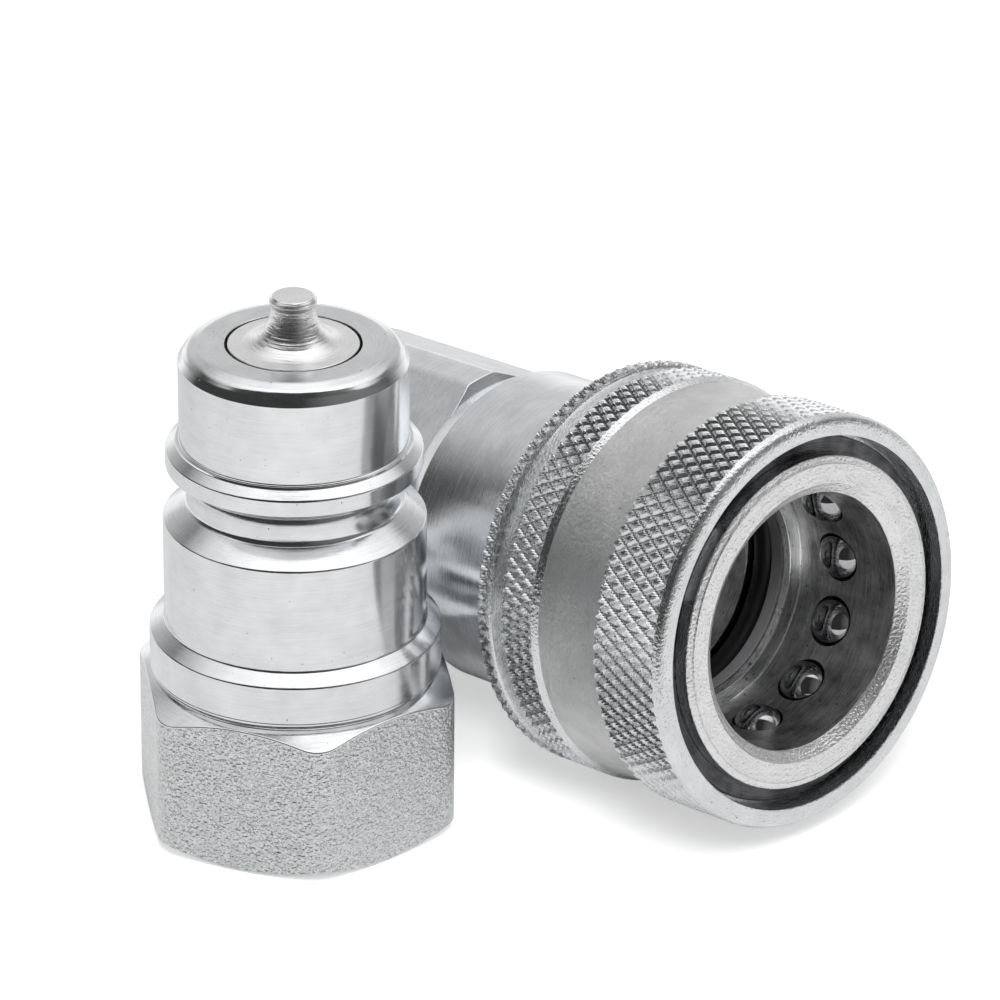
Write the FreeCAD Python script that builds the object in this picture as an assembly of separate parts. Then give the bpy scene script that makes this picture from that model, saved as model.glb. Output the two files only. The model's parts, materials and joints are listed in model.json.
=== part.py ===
import FreeCAD, Part
import math
import os

# Hydraulic quick coupler, half inch size: a plug half that stands on its port and a socket half that
# lies beside it. All lengths are millimetres. The plug's axis is Z and its port face lies at height 0.

# Fits between pieces
running_gap = 0.06
seat_gap = 0.02
loose_gap = 0.25

# Flats round the wire of a coil spring, which stand for its round section
wire_flats = 8

# Plug half, heights above the port face
plug_height = 46.5
hex_across_flats = 27.0
hex_corner_round = 3.2
hex_height = 14.6
hex_foot_chamfer = 0.5
hex_turn = -3.7
hex_chamfer_angle = 30.0
flange_radius = 13.15
flange_top = 18.9
flange_edge = 0.55
land_radius = 11.8
land_bottom = 19.9

# Front of the plug half, depths below its nose face, as the socket half needs them
land_top_depth = 16.75
groove_radius = 9.5
groove_bottom_depth = 15.5
groove_flare_depth = 14.43
collar_radius = 11.5
collar_bottom_depth = 11.55
collar_top_depth = 10.0
nose_radius = 10.25
nose_length = 9.1
nose_edge = 1.5

# Ports for the half inch pipe thread
port_minor_radius = 9.32
port_mouth_radius = 10.6
port_depth = 15.0
port_cone = 1.8

# Poppet valve, the same in both halves, depths measured back from its face
aperture_radius = 6.1
aperture_depth = 1.45
chamber_radius = 8.2
poppet_travel = 5.0
nib_height = 4.6
nib_tip_radius = 1.75
nib_rim_radius = 2.15
nib_rim_height = 0.5
nib_neck_radius = 1.9
nib_flare_top = 3.4
nib_foot_radius = 4.6
poppet_groove_depth = 2.3
poppet_seal_wire = 0.72
poppet_skirt = 0.8
poppet_skirt_radius = 7.7
stem_radius = 2.5
stem_collar_radius = 3.4
guide_depth = 20.5
guide_thickness = 2.6
guide_radius = 8.85
guide_rim = 1.45
guide_hub_radius = 3.9
guide_leg_width = 2.4
guide_legs = 3
stem_overrun = 1.4
valve_wire = 0.5
valve_spring_radius = 5.6
valve_spring_turns = 7
guide_ring_thickness = 1.0
guide_ring_depth = 0.85
guide_ring_width = 1.65
guide_ring_split = 34.0

# Socket half, depths measured back from its mouth
bore_radius = 11.9
bore_lead = 0.65
bore_depth = 12.65
nose_bore_slope = 0.5
cage_radius = 15.39
cage_edge = 0.55
seal_groove_front = 13.55
seal_wire = 1.3
seal_squeeze = 0.08
backup_thickness = 1.35
seal_room = 0.25
poppet_face_depth = 21.75
body_shoulder_radius = 17.2
body_shoulder_width = 1.25
body_rear_radius = 14.85
body_rear_depth = 37.15
body_taper_radius = 13.9
body_length = 39.25
spigot_radius = 11.45
spigot_length = 6.0
adapter_seal_wire = 1.0
socket_length = 66.0
adapter_corner_radius = 14.75
adapter_front_step = 1.35
adapter_front_chamfer = 0.75
adapter_rear_step = 1.5
adapter_rear_chamfer = 1.2
adapter_turn = 96.0
adapter_floor = 2.2
adapter_throat_radius = 7.4

# Lock balls
ball_radius = 2.38
ball_count = 12
ball_turn = 2.6
ball_depth = 7.85
ball_play = 0.25
ball_hole_mouth = 2.25
ball_hole_gap = 0.1

# Locking sleeve
sleeve_radius = 19.0
sleeve_front_radius = 19.15
sleeve_length = 23.4
rim_inner_radius = 17.25
rim_round = 0.85
front_knurl_end = 8.1
waist_front_radius = 18.75
waist_radius = 18.42
waist_rear_radius = 18.6
waist_end = 15.65
rear_knurl_start = 16.35
rear_knurl_end = 20.1
sleeve_groove_radius = 18.45
tail_knurl_start = 22.15
sleeve_tail_edge = 0.25
stop_shoulder_radius = 16.55
land_lead = 0.7
sleeve_land_width = 3.0
sleeve_spring_wire = 0.65
sleeve_spring_turns = 4

# Stop ring that keeps the sleeve on
stop_ring_front = 1.65
stop_ring_thickness = 1.2
stop_ring_groove = 0.62
stop_ring_radius = 16.9
stop_ring_split = 30.0
stop_ring_split_turn = 141.0

# Place of the socket half: clear of the plug half's hexagon by the gap between the pair, mouth facing -Y
pair_gap = 2.05
socket_mouth_y = -34.9

# The socket lies on the sleeve's tail and on a corner at the end of the adapter
sleeve_foot = sleeve_length - sleeve_tail_edge
adapter_foot = socket_length - adapter_rear_chamfer
rest_tilt = math.degrees(
    math.atan((sleeve_radius - adapter_corner_radius) / (adapter_foot - sleeve_foot))
)
socket_mouth_z = (
    sleeve_radius * math.cos(math.radians(rest_tilt))
    + sleeve_foot * math.sin(math.radians(rest_tilt))
)

# Sizes that follow from those above
socket_mouth_x = hex_across_flats / 2 + body_rear_radius + pair_gap
land_top = plug_height - land_top_depth
groove_bottom = plug_height - groove_bottom_depth
groove_flare_bottom = plug_height - groove_flare_depth
collar_bottom = plug_height - collar_bottom_depth
collar_top = plug_height - collar_top_depth
nose_bottom = plug_height - nose_length
seat_slope_depth = aperture_depth + chamber_radius - aperture_radius
poppet_head_radius = aperture_radius - loose_gap
poppet_groove_front = aperture_depth + poppet_groove_depth - 2 * poppet_seal_wire - seat_gap
poppet_skirt_depth = aperture_depth + poppet_groove_depth + poppet_skirt
guide_pocket_radius = guide_radius + running_gap
stem_collar_depth = guide_depth - poppet_travel - loose_gap
land_bore_radius = cage_radius + running_gap
ball_rest_radius = land_bore_radius - ball_play - ball_radius
stop_shoulder_depth = stop_ring_front + stop_ring_thickness + seat_gap
sleeve_land_front = ball_depth - land_lead
sleeve_land_rear = sleeve_land_front + sleeve_land_width
spring_chamber_radius = body_shoulder_radius + running_gap
body_shoulder_front = sleeve_length - body_shoulder_width
nose_bore_radius = nose_radius + running_gap
nose_seal_radius = nose_radius - seal_squeeze + seal_wire
seal_groove_radius = nose_seal_radius + seal_wire + running_gap
seal_groove_rear = seal_groove_front + backup_thickness + 2 * seal_wire + 2 * seal_room
spigot_front = body_length - spigot_length
counterbore_front = spigot_front - 2 * adapter_seal_wire - 2 * seat_gap
guide_floor = poppet_face_depth + guide_depth + guide_thickness

origin = FreeCAD.Vector(0, 0, 0)
up = FreeCAD.Vector(0, 0, 1)

plug_place = FreeCAD.Placement()
socket_place = FreeCAD.Placement(
    FreeCAD.Vector(socket_mouth_x, socket_mouth_y, socket_mouth_z),
    FreeCAD.Rotation(FreeCAD.Vector(1, 0, 0), 90.0 - rest_tilt),
)


# A point of a turned outline, given by its radius and its height on the axis
def on_outline(radius, height):
    return FreeCAD.Vector(radius, 0, height)


# Turned solid about Z. A step of two numbers is a straight line to that radius and height. A step of
# four is an arc through the first pair to the second.
def turned(outline):
    edges = []
    here = on_outline(*outline[0])
    for step in outline[1:] + outline[:1]:
        end = on_outline(*step[-2:])
        if len(step) == 4:
            edges.append(Part.Arc(here, on_outline(*step[:2]), end).toShape())
        elif here.distanceToPoint(end) > seat_gap / 2:
            edges.append(Part.makeLine(here, end))
        here = end
    return Part.Face(Part.Wire(edges)).revolve(origin, up, 360)


# Middle of the arc between two outline points that runs along the axis at the first of them
def arc_middle(start, end):
    spread = end[0] - start[0]
    rise = end[1] - start[1]
    size = (spread ** 2 + rise ** 2) / (2 * spread)
    half_turn = math.atan(spread / rise)
    return start[0] + size * (1 - math.cos(half_turn)), start[1] + size * math.sin(half_turn)


# Plain ring or washer between two radii and two heights
def ring(inner, outer, low, high):
    body = Part.makeCylinder(outer, high - low, FreeCAD.Vector(0, 0, low))
    hole = Part.makeCylinder(inner, high - low, FreeCAD.Vector(0, 0, low))
    return body.cut(hole)


# Round section ring, such as an O-ring
def round_ring(centre_radius, wire, height):
    return Part.makeTorus(centre_radius, wire, FreeCAD.Vector(0, 0, height))


# Coil spring that fills the room between two heights
def coil(centre_radius, wire, low, high, turns):
    rise = high - low - 2 * wire - 2 * seat_gap
    helix = Part.makeHelix(rise / turns, rise, centre_radius)
    section = []
    for corner in range(wire_flats + 1):
        angle = math.radians(360 / wire_flats * corner)
        section.append(on_outline(centre_radius + wire * math.cos(angle), wire * math.sin(angle)))
    spring = Part.Wire(helix).makePipeShell([Part.makePolygon(section)], True, True)
    spring.translate(FreeCAD.Vector(0, 0, low + wire + seat_gap))
    return spring


# Hexagonal prism with a corner at the given angle
def hexagon(across_flats, low, high, turn):
    corner = across_flats / math.sqrt(3)
    points = []
    for side in range(7):
        angle = math.radians(60 * side + turn)
        points.append(FreeCAD.Vector(corner * math.cos(angle), corner * math.sin(angle), low))
    return Part.Face(Part.makePolygon(points)).extrude(FreeCAD.Vector(0, 0, high - low))


# Wedge that cuts the split in a ring, about the given angle
def split_wedge(reach, low, high, turn, spread):
    wedge = Part.makeCylinder(reach, high - low, FreeCAD.Vector(0, 0, low), up, spread)
    wedge.rotate(origin, up, turn - spread / 2)
    return wedge


# Thread bore of a port that opens downward at height 0, with a cone for the mouth and one at its end
def port_bore(depth, end_radius):
    lead = port_mouth_radius - port_minor_radius
    return turned([
        (0, 0),
        (port_mouth_radius, 0),
        (port_minor_radius, lead),
        (port_minor_radius, depth),
        (end_radius, depth + port_cone),
        (0, depth + port_cone),
    ])


# Hex of the plug: rounded corners, a steep chamfer on top and a small one at the foot
def plug_hex():
    corner = hex_across_flats / math.sqrt(3)
    slope = math.tan(math.radians(hex_chamfer_angle))
    foot = hex_across_flats / 2 - hex_foot_chamfer
    prism = hexagon(hex_across_flats, 0, hex_height, hex_turn)
    uprights = [edge for edge in prism.Edges if edge.BoundBox.ZLength > hex_height / 2]
    prism = prism.makeFillet(hex_corner_round, uprights)
    envelope = turned([
        (0, 0),
        (foot, 0),
        (corner, (corner - foot) * slope),
        (corner, hex_height - (corner - flange_radius) * slope),
        (flange_radius, hex_height),
        (0, hex_height),
    ])
    return prism.common(envelope)


# Plug body above its hex: flange, land, ball groove, collar and nose
def plug_turned_front():
    collar_foot = (collar_radius, collar_bottom)
    face_edge = (nose_radius - nose_edge, plug_height)
    nose_top = (nose_radius, plug_height - nose_edge)
    flare_foot = (groove_radius, groove_flare_bottom)
    return turned([
        (0, hex_height),
        (flange_radius - flange_edge, hex_height),
        (flange_radius, hex_height + flange_edge),
        (flange_radius, flange_top),
        (land_radius, land_bottom),
        (land_radius, land_top),
        (groove_radius, groove_bottom),
        flare_foot,
        arc_middle(flare_foot, collar_foot) + collar_foot,
        (collar_radius, collar_top),
        (nose_radius, nose_bottom),
        nose_top,
        arc_middle(nose_top, face_edge) + face_edge,
        (0, plug_height),
    ])


# Hollow of the plug from its nose down: aperture, valve seat, chamber, guide pocket and ring groove
def plug_hollow():
    guide_top = plug_height - guide_depth
    guide_foot = guide_top - guide_thickness
    ring_foot = guide_foot - guide_ring_thickness - seat_gap
    ring_groove = guide_pocket_radius + guide_ring_depth
    return turned([
        (0, port_depth),
        (guide_pocket_radius, port_depth),
        (guide_pocket_radius, ring_foot),
        (ring_groove, ring_foot),
        (ring_groove, guide_foot),
        (guide_pocket_radius, guide_foot),
        (guide_pocket_radius, guide_top),
        (chamber_radius, guide_top),
        (chamber_radius, plug_height - seat_slope_depth),
        (aperture_radius, plug_height - aperture_depth),
        (aperture_radius, plug_height),
        (0, plug_height),
    ])


def plug_body():
    body = plug_turned_front().fuse(plug_hex()).removeSplitter()
    body = body.cut(plug_hollow())
    return body.cut(port_bore(port_depth, guide_pocket_radius))


# Poppet with its face at height 0, the nib above and the stem below
def poppet():
    head_slope = poppet_groove_front - aperture_depth
    stem_end = guide_depth + guide_thickness + stem_overrun
    flare_top = (nib_neck_radius, nib_flare_top)
    flare_end = (nib_foot_radius, 0)
    return turned([
        (0, nib_height),
        (nib_tip_radius, nib_height),
        (nib_rim_radius, nib_height - nib_rim_height),
        (nib_neck_radius, nib_height - 2 * nib_rim_height),
        flare_top,
        arc_middle(flare_top, flare_end) + flare_end,
        (poppet_head_radius, 0),
        (poppet_head_radius, -aperture_depth),
        (poppet_head_radius + head_slope, -poppet_groove_front),
        (poppet_head_radius, -poppet_groove_front),
        (poppet_head_radius, -aperture_depth - poppet_groove_depth),
        (poppet_skirt_radius, -aperture_depth - poppet_groove_depth),
        (poppet_skirt_radius, -poppet_skirt_depth),
        (stem_collar_radius, -poppet_skirt_depth),
        (stem_collar_radius, -stem_collar_depth),
        (stem_radius, -stem_collar_depth),
        (stem_radius, -stem_end),
        (0, -stem_end),
    ])


# O-ring in the poppet's groove, just clear of the conical seat
def poppet_seal():
    centre = poppet_head_radius + poppet_seal_wire + seat_gap
    height = -(aperture_depth + poppet_groove_depth - poppet_seal_wire - seat_gap / 2)
    return round_ring(centre, poppet_seal_wire, height)


def valve_spring():
    return coil(valve_spring_radius, valve_wire, -guide_depth, -poppet_skirt_depth, valve_spring_turns)


# Guide with a hub for the stem, legs and a rim
def valve_guide():
    low = -guide_depth - guide_thickness
    guide = ring(guide_radius - guide_rim, guide_radius, low, -guide_depth)
    hub = Part.makeCylinder(guide_hub_radius, guide_thickness, FreeCAD.Vector(0, 0, low))
    legs = []
    for leg in range(guide_legs):
        bar = Part.makeBox(
            guide_radius - guide_rim / 2,
            guide_leg_width,
            guide_thickness,
            FreeCAD.Vector(0, -guide_leg_width / 2, low),
        )
        bar.rotate(origin, up, 360 / guide_legs * leg)
        legs.append(bar)
    guide = guide.fuse([hub] + legs).removeSplitter()
    stem_hole = Part.makeCylinder(stem_radius + running_gap, guide_thickness, FreeCAD.Vector(0, 0, low))
    return guide.cut(stem_hole)


# Split ring under the plug's guide
def plug_guide_ring():
    top = plug_height - guide_depth - guide_thickness
    outer = guide_pocket_radius + guide_ring_depth - seat_gap
    low = top - guide_ring_thickness
    body = ring(outer - guide_ring_width, outer, low, top)
    return body.cut(split_wedge(2 * outer, low, top, 0, guide_ring_split))


# Outside of the socket body: ball cage, stop ring groove, spring shoulder and rear barrel
def socket_body_outside():
    groove_rear = stop_ring_front + stop_ring_thickness + seat_gap
    return turned([
        (0, 0),
        (cage_radius - cage_edge, 0),
        (cage_radius, -cage_edge),
        (cage_radius, -stop_ring_front + seat_gap),
        (cage_radius - stop_ring_groove, -stop_ring_front + seat_gap),
        (cage_radius - stop_ring_groove, -groove_rear),
        (cage_radius, -groove_rear),
        (cage_radius, -body_shoulder_front),
        (body_shoulder_radius, -body_shoulder_front),
        (body_shoulder_radius, -sleeve_length),
        (body_rear_radius, -sleeve_length),
        (body_rear_radius, -body_rear_depth),
        (body_taper_radius, -body_length),
        (0, -body_length),
    ])


# Hollow of the socket body from its mouth back
def socket_body_hollow():
    seat_front = poppet_face_depth + aperture_depth
    return turned([
        (0, 0),
        (bore_radius + bore_lead, 0),
        (bore_radius, -bore_lead),
        (bore_radius, -bore_depth),
        (nose_bore_radius, -bore_depth - nose_bore_slope),
        (nose_bore_radius, -seal_groove_front),
        (seal_groove_radius, -seal_groove_front),
        (seal_groove_radius, -seal_groove_rear),
        (nose_bore_radius, -seal_groove_rear),
        (nose_bore_radius, -poppet_face_depth),
        (aperture_radius, -poppet_face_depth),
        (aperture_radius, -seat_front),
        (chamber_radius, -poppet_face_depth - seat_slope_depth),
        (chamber_radius, -counterbore_front),
        (spigot_radius + running_gap, -counterbore_front),
        (spigot_radius + running_gap, -body_length),
        (0, -body_length),
    ])


# Direction of a lock ball from the socket's axis
def ball_direction(number):
    angle = math.radians(360 / ball_count * number + ball_turn)
    return FreeCAD.Vector(math.cos(angle), math.sin(angle), 0)


# Tapered hole for one ball, too tight at the bore for the ball to fall through
def ball_hole(number):
    outward = ball_direction(number)
    taper = ball_rest_radius - bore_radius
    foot = outward * (bore_radius - taper)
    foot.z = -ball_depth
    wide = ball_radius + ball_hole_gap
    narrow = 2 * ball_hole_mouth - wide
    cone = Part.makeCone(narrow, wide, 2 * taper, foot, outward)
    shaft_foot = outward * ball_rest_radius
    shaft_foot.z = -ball_depth
    shaft = Part.makeCylinder(wide, cage_radius, shaft_foot, outward)
    return cone.fuse(shaft)


def socket_body():
    body = socket_body_outside().cut(socket_body_hollow())
    return body.cut([ball_hole(number) for number in range(ball_count)])


def lock_ball(number):
    centre = ball_direction(number) * ball_rest_radius
    centre.z = -ball_depth
    return Part.makeSphere(ball_radius, centre)


# Adapter behind the body: spigot, hex with turned corners and the port at its end
def socket_adapter():
    hex_top = -body_length
    throat_end = guide_floor + adapter_floor
    outside = turned([
        (0, -spigot_front),
        (spigot_radius, -spigot_front),
        (spigot_radius, hex_top),
        (adapter_corner_radius - adapter_front_step, hex_top),
        (adapter_corner_radius, hex_top - adapter_front_chamfer),
        (adapter_corner_radius, -adapter_foot),
        (adapter_corner_radius - adapter_rear_step, -socket_length),
        (0, -socket_length),
    ])
    flats = hexagon(hex_across_flats, -socket_length, -spigot_front, adapter_turn)
    hollow = turned([
        (0, -spigot_front),
        (guide_pocket_radius, -spigot_front),
        (guide_pocket_radius, -guide_floor),
        (adapter_throat_radius, -guide_floor),
        (adapter_throat_radius, -throat_end),
        (0, -throat_end),
    ])
    port = port_bore(socket_length - throat_end - port_cone, adapter_throat_radius)
    port.translate(FreeCAD.Vector(0, 0, -socket_length))
    return outside.common(flats).cut(hollow).cut(port)


# O-ring between the body and the adapter's spigot
def adapter_seal():
    centre = spigot_radius - adapter_seal_wire
    return round_ring(centre, adapter_seal_wire, -spigot_front + adapter_seal_wire + seat_gap)


# O-ring that grips the plug's nose
def nose_seal():
    return round_ring(nose_seal_radius, seal_wire, -seal_groove_rear + seal_room + seal_wire)


def backup_ring():
    front = seal_groove_front + running_gap
    inner = nose_bore_radius + running_gap
    outer = seal_groove_radius - running_gap
    return ring(inner, outer, -front - backup_thickness, -front)


# Split ring near the mouth that the sleeve's inner shoulder rests against
def sleeve_stop_ring():
    low = -stop_ring_front - stop_ring_thickness
    inner = cage_radius - stop_ring_groove + seat_gap
    high = -stop_ring_front
    body = ring(inner, stop_ring_radius, low, high)
    return body.cut(split_wedge(2 * stop_ring_radius, low, high, stop_ring_split_turn, stop_ring_split))


def sleeve_spring():
    middle = (cage_radius + spring_chamber_radius) / 2
    return coil(
        middle, sleeve_spring_wire, -body_shoulder_front, -sleeve_land_rear, sleeve_spring_turns
    )


# Locking sleeve: rounded rim, knurl bands, waist and groove outside; stop shoulder, ball ramp, land
# and spring chamber inside
def locking_sleeve():
    waist_middle = (front_knurl_end + waist_end) / 2
    groove_edge = (sleeve_radius - sleeve_groove_radius) / 2
    rim_edge = (sleeve_front_radius - rim_round, 0)
    rim_side = (sleeve_front_radius, -rim_round)
    return turned([
        (rim_inner_radius, 0),
        rim_edge,
        arc_middle(rim_side, rim_edge) + rim_side,
        (sleeve_front_radius, -front_knurl_end),
        (waist_front_radius, -front_knurl_end),
        (waist_radius, -waist_middle, waist_rear_radius, -waist_end),
        (sleeve_radius, -rear_knurl_start),
        (sleeve_radius, -rear_knurl_end),
        (sleeve_groove_radius, -rear_knurl_end - groove_edge),
        (sleeve_groove_radius, -tail_knurl_start + groove_edge),
        (sleeve_radius, -tail_knurl_start),
        (sleeve_radius, -sleeve_foot),
        (sleeve_radius - sleeve_tail_edge, -sleeve_length),
        (spring_chamber_radius, -sleeve_length),
        (spring_chamber_radius, -sleeve_land_rear),
        (land_bore_radius, -sleeve_land_rear),
        (land_bore_radius, -sleeve_land_front),
        (stop_shoulder_radius, -stop_shoulder_depth),
        (rim_inner_radius, -stop_shoulder_depth),
    ])


# Place at the given height on the axis
def lifted(height):
    return FreeCAD.Placement(FreeCAD.Vector(0, 0, height), FreeCAD.Rotation())


# Writes one piece where it belongs
def write(name, shape, place):
    piece = shape.copy()
    piece.Placement = place.multiply(piece.Placement)
    piece.exportStep("parts/" + name + ".step")


def main():
    os.makedirs("parts", exist_ok=True)
    plug_face = plug_place.multiply(lifted(plug_height))
    socket_face = socket_place.multiply(lifted(-poppet_face_depth))
    write("plug_body", plug_body(), plug_place)
    write("plug_guide_ring", plug_guide_ring(), plug_place)
    for half, place in (("plug", plug_face), ("socket", socket_face)):
        write(half + "_poppet", poppet(), place)
        write(half + "_poppet_seal", poppet_seal(), place)
        write(half + "_valve_spring", valve_spring(), place)
        write(half + "_valve_guide", valve_guide(), place)
    write("socket_body", socket_body(), socket_place)
    write("socket_adapter", socket_adapter(), socket_place)
    write("adapter_seal", adapter_seal(), socket_place)
    write("nose_seal", nose_seal(), socket_place)
    write("backup_ring", backup_ring(), socket_place)
    write("sleeve_stop_ring", sleeve_stop_ring(), socket_place)
    write("sleeve_spring", sleeve_spring(), socket_place)
    write("locking_sleeve", locking_sleeve(), socket_place)
    for number in range(ball_count):
        write("lock_ball_%02d" % (number + 1), lock_ball(number), socket_place)


main()
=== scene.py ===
import bpy
import bmesh
import json
import math
import numpy as np
from mathutils import Matrix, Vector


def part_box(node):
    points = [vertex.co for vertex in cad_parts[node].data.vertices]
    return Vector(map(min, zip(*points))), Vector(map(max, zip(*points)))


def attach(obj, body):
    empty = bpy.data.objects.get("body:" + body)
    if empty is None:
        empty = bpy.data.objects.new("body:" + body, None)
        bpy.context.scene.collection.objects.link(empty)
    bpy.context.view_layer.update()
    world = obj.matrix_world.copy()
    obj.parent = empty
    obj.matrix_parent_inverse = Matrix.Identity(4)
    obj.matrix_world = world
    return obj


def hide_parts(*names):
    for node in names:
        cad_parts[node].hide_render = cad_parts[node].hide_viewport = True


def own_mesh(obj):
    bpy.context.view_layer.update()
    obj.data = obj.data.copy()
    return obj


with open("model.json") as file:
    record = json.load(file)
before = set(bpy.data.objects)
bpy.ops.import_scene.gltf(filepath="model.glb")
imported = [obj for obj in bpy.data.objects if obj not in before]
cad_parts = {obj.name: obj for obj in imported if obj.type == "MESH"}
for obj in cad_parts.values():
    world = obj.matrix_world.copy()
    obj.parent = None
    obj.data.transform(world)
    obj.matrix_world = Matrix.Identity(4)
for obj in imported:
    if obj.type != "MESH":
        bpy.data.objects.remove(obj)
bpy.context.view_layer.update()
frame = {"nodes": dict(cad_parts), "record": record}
nodes = frame["nodes"]
mounts = {mount["name"]: mount for mount in frame["record"]["mounts"]}
print("frame loaded")

mm = 0.001  # sizes below are millimetres, meshes are metres


# Places

# the plug stands at the frame's origin, the socket half hangs on its mouth's mount
socketAxis = np.array(mounts["socket_mouth"]["axis"])
socketMouth = np.array(mounts["socket_mouth"]["pos_m"])
socketSide = np.array([1.0, 0.0, 0.0])
socketUp = np.cross(socketAxis, socketSide)
socketTurn = np.stack([socketSide, socketUp, socketAxis], axis=1)


def onPlug(points, lift=0.0):
    # points in millimetres, raised along the plug's axis
    return (points + [0, 0, lift]) * mm


def onSocket(points, lift=0.0):
    # turned so that local z is the socket's axis, then moved to its mouth
    return ((points + [0, 0, lift]) * mm) @ socketTurn.T + socketMouth


# Surfaces

def spread(outline, columns):
    # (r, z, edge) entries, each number or array, become one array rows x columns x 2 and the edges
    rows = [np.broadcast_to(np.stack(np.broadcast_arrays(r, z), -1), (columns, 2)) for r, z, edge in outline]
    return np.array(rows, float), np.array([edge for r, z, edge in outline])


def softened(points, edges, steps=4):
    # every corner with an edge radius becomes a quadratic curve B(t) = (1-t)^2 a + 2t(1-t) p + t^2 b
    # between points a and b at radius * tan(turn / 2) before and after it, with a support row each side
    toBefore = np.roll(points, 1, axis=0) - points
    toAfter = np.roll(points, -1, axis=0) - points
    sizeBefore = np.linalg.norm(toBefore, axis=-1, keepdims=True) + 1e-9
    sizeAfter = np.linalg.norm(toAfter, axis=-1, keepdims=True) + 1e-9
    toBefore, toAfter = toBefore / sizeBefore, toAfter / sizeAfter
    turn = np.arccos(np.clip(-(toBefore * toAfter).sum(-1, keepdims=True), -1, 1))
    room = 0.42 * np.minimum(sizeBefore, sizeAfter)
    reach = np.minimum(edges[:, None, None] * np.tan(turn / 2), room)
    support = np.minimum(0.05, 0.1 * room)
    a, b = points + toBefore * reach, points + toAfter * reach
    t = np.linspace(0, 1, steps)[:, None, None, None]
    curve = (1 - t) ** 2 * a + 2 * t * (1 - t) * points + t ** 2 * b
    rows = np.concatenate([[a + toBefore * support], curve, [b + toAfter * support]])
    rows = rows.transpose(1, 0, 2, 3)
    used = np.zeros(rows.shape[:2], bool)
    used[edges > 0] = True
    used[edges <= 0, 0] = True
    rows[edges <= 0, 0] = points[edges <= 0]
    source = np.repeat(np.arange(len(points))[:, None], steps + 2, axis=1)
    return rows[used], source[used]


def bend(start, middle, end, steps):
    # quadratic curve from start towards middle to end, without its last point
    t = np.arange(steps)[:, None] / steps
    start, middle, end = np.array(start), np.array(middle), np.array(end)
    curve = (1 - t) ** 2 * start + 2 * t * (1 - t) * middle + t ** 2 * end
    return [(r, z, 0.0) for r, z in curve]


def gridFaces(rows, columns, closed=True):
    # quads of a grid whose columns run round; a closed grid joins its last row to its first
    row = np.arange(rows if closed else rows - 1)[:, None]
    column = np.arange(columns)[None, :]
    after, above = (column + 1) % columns, (row + 1) % rows
    quads = [row * columns + column, row * columns + after, above * columns + after, above * columns + column]
    return np.stack(np.broadcast_arrays(*quads), -1)


def turnedPoints(rows, columns):
    # x = r cos(angle), y = r sin(angle), z = z, for every column's angle
    angle = 2 * np.pi * np.arange(columns) / columns
    r, z = rows[..., 0], rows[..., 1]
    return np.stack([r * np.cos(angle), r * np.sin(angle), z], -1)


def makePiece(name, points, faces, materials, faceMaterials=None, sharp=32.0):
    # mesh of the given faces, doubles merged, edges sharper than the angle kept crisp
    mesh = bpy.data.meshes.new(name)
    mesh.from_pydata(points.reshape(-1, 3).tolist(), [], faces)
    for material in materials:
        mesh.materials.append(material)
    if faceMaterials is not None:
        mesh.polygons.foreach_set("material_index", np.asarray(faceMaterials, np.int32))
    work = bmesh.new()
    work.from_mesh(mesh)
    bmesh.ops.remove_doubles(work, verts=work.verts, dist=0.0008 * mm)
    bmesh.ops.recalc_face_normals(work, faces=work.faces)
    work.to_mesh(mesh)
    work.free()
    mesh.shade_smooth()
    mesh.set_sharp_from_angle(angle=math.radians(sharp))
    piece = bpy.data.objects.new(name, mesh)
    bpy.context.scene.collection.objects.link(piece)
    return piece


def turnedPiece(name, outline, columns, place, materials, bandOf=None, lift=0.0):
    # closed outline turned about the axis; bandOf gives the material of each outline entry's stretch
    points, edges = spread(outline, columns)
    rows, source = softened(points, edges)
    faces = gridFaces(len(rows), columns)
    bands = None
    if bandOf is not None:
        bands = np.repeat(np.array(bandOf)[source], columns)
    shape = place(turnedPoints(rows, columns), lift)
    return makePiece(name, shape, faces.reshape(-1, 4).tolist(), materials, bands)


# Materials

def nodeTool(material):
    tree = material.node_tree
    tree.nodes.clear()

    def add(kind, inputs=(), **settings):
        node = tree.nodes.new(kind)
        for key, value in settings.items():
            setattr(node, key, value)
        for key, value in dict(inputs).items():
            if isinstance(value, bpy.types.NodeSocket):
                tree.links.new(value, node.inputs[key])
            else:
                node.inputs[key].default_value = value
        return node
    return add


def axisCoordinates(add, half):
    # object coordinates brought to the half's own axis, in millimetres: radius, angle and depth
    source = add("ShaderNodeTexCoord").outputs["Object"]
    if half == "socket":
        moved = add("ShaderNodeVectorMath", {0: source, 1: tuple(socketMouth)}, operation="SUBTRACT")
        parts = [add("ShaderNodeVectorMath", {0: moved.outputs[0], 1: tuple(axis)}, operation="DOT_PRODUCT")
                 for axis in (socketSide, socketUp, socketAxis)]
        joined = {place: part.outputs["Value"] for place, part in enumerate(parts)}
        source = add("ShaderNodeCombineXYZ", joined).outputs[0]
    local = add("ShaderNodeVectorMath", {0: source, "Scale": 1000.0}, operation="SCALE").outputs[0]
    split = add("ShaderNodeSeparateXYZ", {0: local})
    flat = add("ShaderNodeCombineXYZ", {0: split.outputs[0], 1: split.outputs[1]}).outputs[0]
    radius = add("ShaderNodeVectorMath", {0: flat}, operation="LENGTH").outputs["Value"]
    angle = add("ShaderNodeMath", {0: split.outputs[1], 1: split.outputs[0]}, operation="ARCTAN2").outputs[0]
    return local, radius, angle, split.outputs[2]


def noise(add, vector, scale, detail=3.0, rough=0.6):
    inputs = {"Vector": vector, "Scale": scale, "Detail": detail, "Roughness": rough}
    return add("ShaderNodeTexNoise", inputs).outputs[0]


def ranged(add, value, low, high, toLow, toHigh):
    return add("ShaderNodeMapRange", {0: value, 1: low, 2: high, 3: toLow, 4: toHigh}).outputs[0]


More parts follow.
